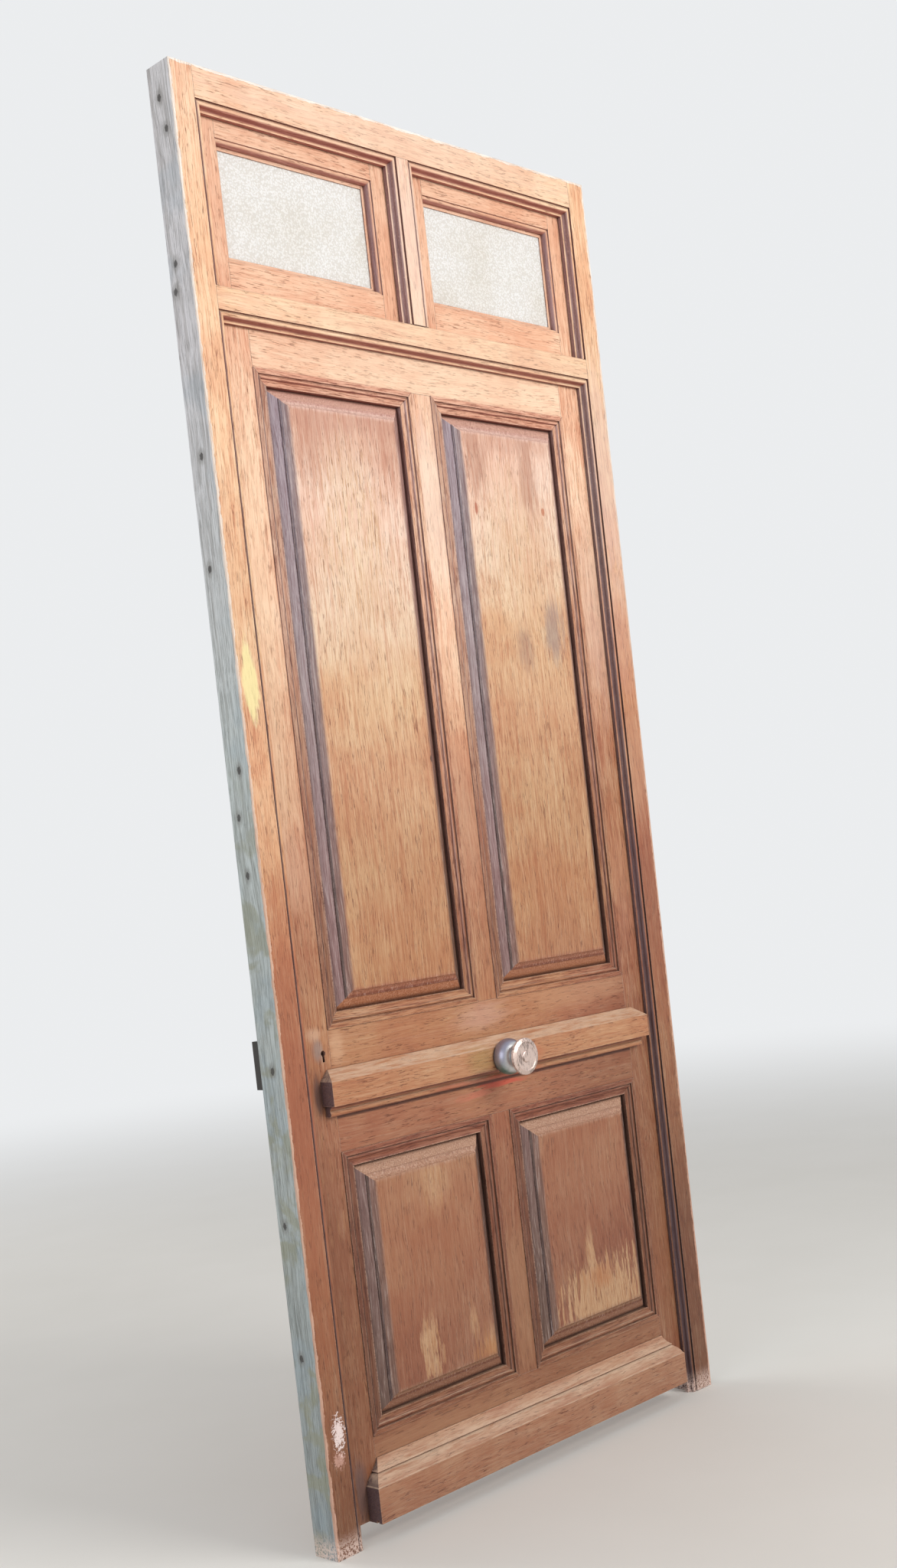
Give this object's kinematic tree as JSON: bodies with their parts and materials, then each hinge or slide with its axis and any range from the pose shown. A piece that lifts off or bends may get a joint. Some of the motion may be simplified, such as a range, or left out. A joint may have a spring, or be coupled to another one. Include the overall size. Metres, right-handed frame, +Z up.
{
  "type": "panelled front door",
  "caption": "Weathered oak front door in its moulded frame, with raised panels, a waist moulding, a pull knob and a glazed transom of opening lights",
  "frame": {"origin": "floor level under the jambs' feet, on the door's centre line, half way through its depth from knob to knob", "axes": "+Z up the door, +X along its width towards the hinges, +Y into the house; the outside face looks along -Y"},
  "size_m": [1.04, 0.19, 2.48],
  "materials": {
    "frame_oak": "weathered varnished oak, worn grey at the outer edge",
    "leaf_oak": "weathered varnished oak",
    "panel_oak": "weathered varnished oak, worn pale in streaks",
    "board_oak": "weathered varnished oak with dirt in its grooves",
    "obscured_glass": "obscured hammered glass",
    "hinge_iron": "dark oiled iron",
    "hinge_brass": "dull brass",
    "lock_enamel": "dark painted iron, rubbed at the edges",
    "lock_steel": "worn bright steel",
    "knob_metal": "dull whitish grey metal, pitted, with blue-green patina low down"
  },
  "bodies": {
    "root": {"left_jamb": "frame_oak", "right_jamb": "frame_oak", "frame_head": "frame_oak", "transom_bar": "frame_oak", "mullion": "frame_oak", "hinge_washers": "hinge_brass", "keeper": "lock_enamel", "keeper_screws": "lock_steel", "left_jamb_light_hinges": "hinge_iron", "right_jamb_light_hinges": "hinge_iron", "turn_button_screw": "lock_steel", "frame_hinge_top": "hinge_iron", "frame_hinge_middle": "hinge_iron", "frame_hinge_bottom": "hinge_iron"},
    "door_leaf": {"lock_stile": "leaf_oak", "hinge_stile": "leaf_oak", "top_rail": "leaf_oak", "lock_rail": "leaf_oak", "bottom_rail": "leaf_oak", "upper_muntin": "leaf_oak", "lower_muntin": "leaf_oak", "upper_left_panel": "panel_oak", "upper_right_panel": "panel_oak", "lower_left_panel": "panel_oak", "lower_right_panel": "panel_oak", "upper_left_moulding": "leaf_oak", "upper_right_moulding": "leaf_oak", "lower_left_moulding": "leaf_oak", "lower_right_moulding": "leaf_oak", "waist_moulding": "board_oak", "weather_board": "board_oak", "pull_knob": "knob_metal", "pull_knob_washer": "lock_steel", "pull_knob_nut": "lock_steel", "lock_case": "lock_enamel", "lock_cover": "lock_enamel", "lock_screws": "lock_steel", "latch_spring": "lock_steel", "leaf_hinge_top": "hinge_iron", "leaf_hinge_middle": "hinge_iron", "leaf_hinge_bottom": "hinge_iron"},
    "left_light": {"left_light_outer_stile": "leaf_oak", "left_light_inner_stile": "leaf_oak", "left_light_top_rail": "leaf_oak", "left_light_bottom_rail": "leaf_oak", "left_light_glass": "obscured_glass", "left_light_beads": "leaf_oak", "left_light_hinges": "hinge_iron"},
    "right_light": {"right_light_outer_stile": "leaf_oak", "right_light_inner_stile": "leaf_oak", "right_light_top_rail": "leaf_oak", "right_light_bottom_rail": "leaf_oak", "right_light_glass": "obscured_glass", "right_light_beads": "leaf_oak", "right_light_hinges": "hinge_iron"},
    "turn_button": {"turn_button": "lock_enamel"},
    "dead_bolt": {"dead_bolt": "lock_steel"},
    "latch_bolt": {"latch_bolt": "lock_steel"},
    "lock_knob": {"lock_knob": "hinge_brass", "lock_follower": "lock_steel"}
  },
  "joints": [
    {"name": "door_swing", "type": "hinge", "parent": "root", "child": "door_leaf", "pos_m": [0.4665, 0.037, 1.05], "axis": [0, 0, -1], "range_deg": [0, 105]},
    {"name": "left_light_swing", "type": "hinge", "parent": "root", "child": "left_light", "pos_m": [-0.46675, 0.0345, 2.2635], "axis": [0, 0, 1], "range_deg": [0, 90]},
    {"name": "right_light_swing", "type": "hinge", "parent": "root", "child": "right_light", "pos_m": [0.46675, 0.0345, 2.2635], "axis": [0, 0, -1], "range_deg": [0, 90]},
    {"name": "turn_button_turn", "type": "hinge", "parent": "root", "child": "turn_button", "pos_m": [0, 0.0325, 2.2635], "axis": [0, 1, 0], "range_deg": [0, 90]},
    {"name": "dead_bolt_throw", "type": "slide", "parent": "door_leaf", "child": "dead_bolt", "axis": [-1, 0, 0], "range_m": [0, 0.02]},
    {"name": "lock_knob_turn", "type": "hinge", "parent": "door_leaf", "child": "lock_knob", "pos_m": [-0.3725, 0.042, 0.82292], "axis": [0, 1, 0], "range_deg": [0, 35]},
    {"name": "latch_bolt_slide", "type": "slide", "parent": "door_leaf", "child": "latch_bolt", "axis": [-1, 0, 0], "range_m": [0, 0.012]}
  ],
  "couplings": [
    {"joint": "latch_bolt_slide", "follows": "lock_knob_turn", "m_per_rad": 0.019644}
  ]
}
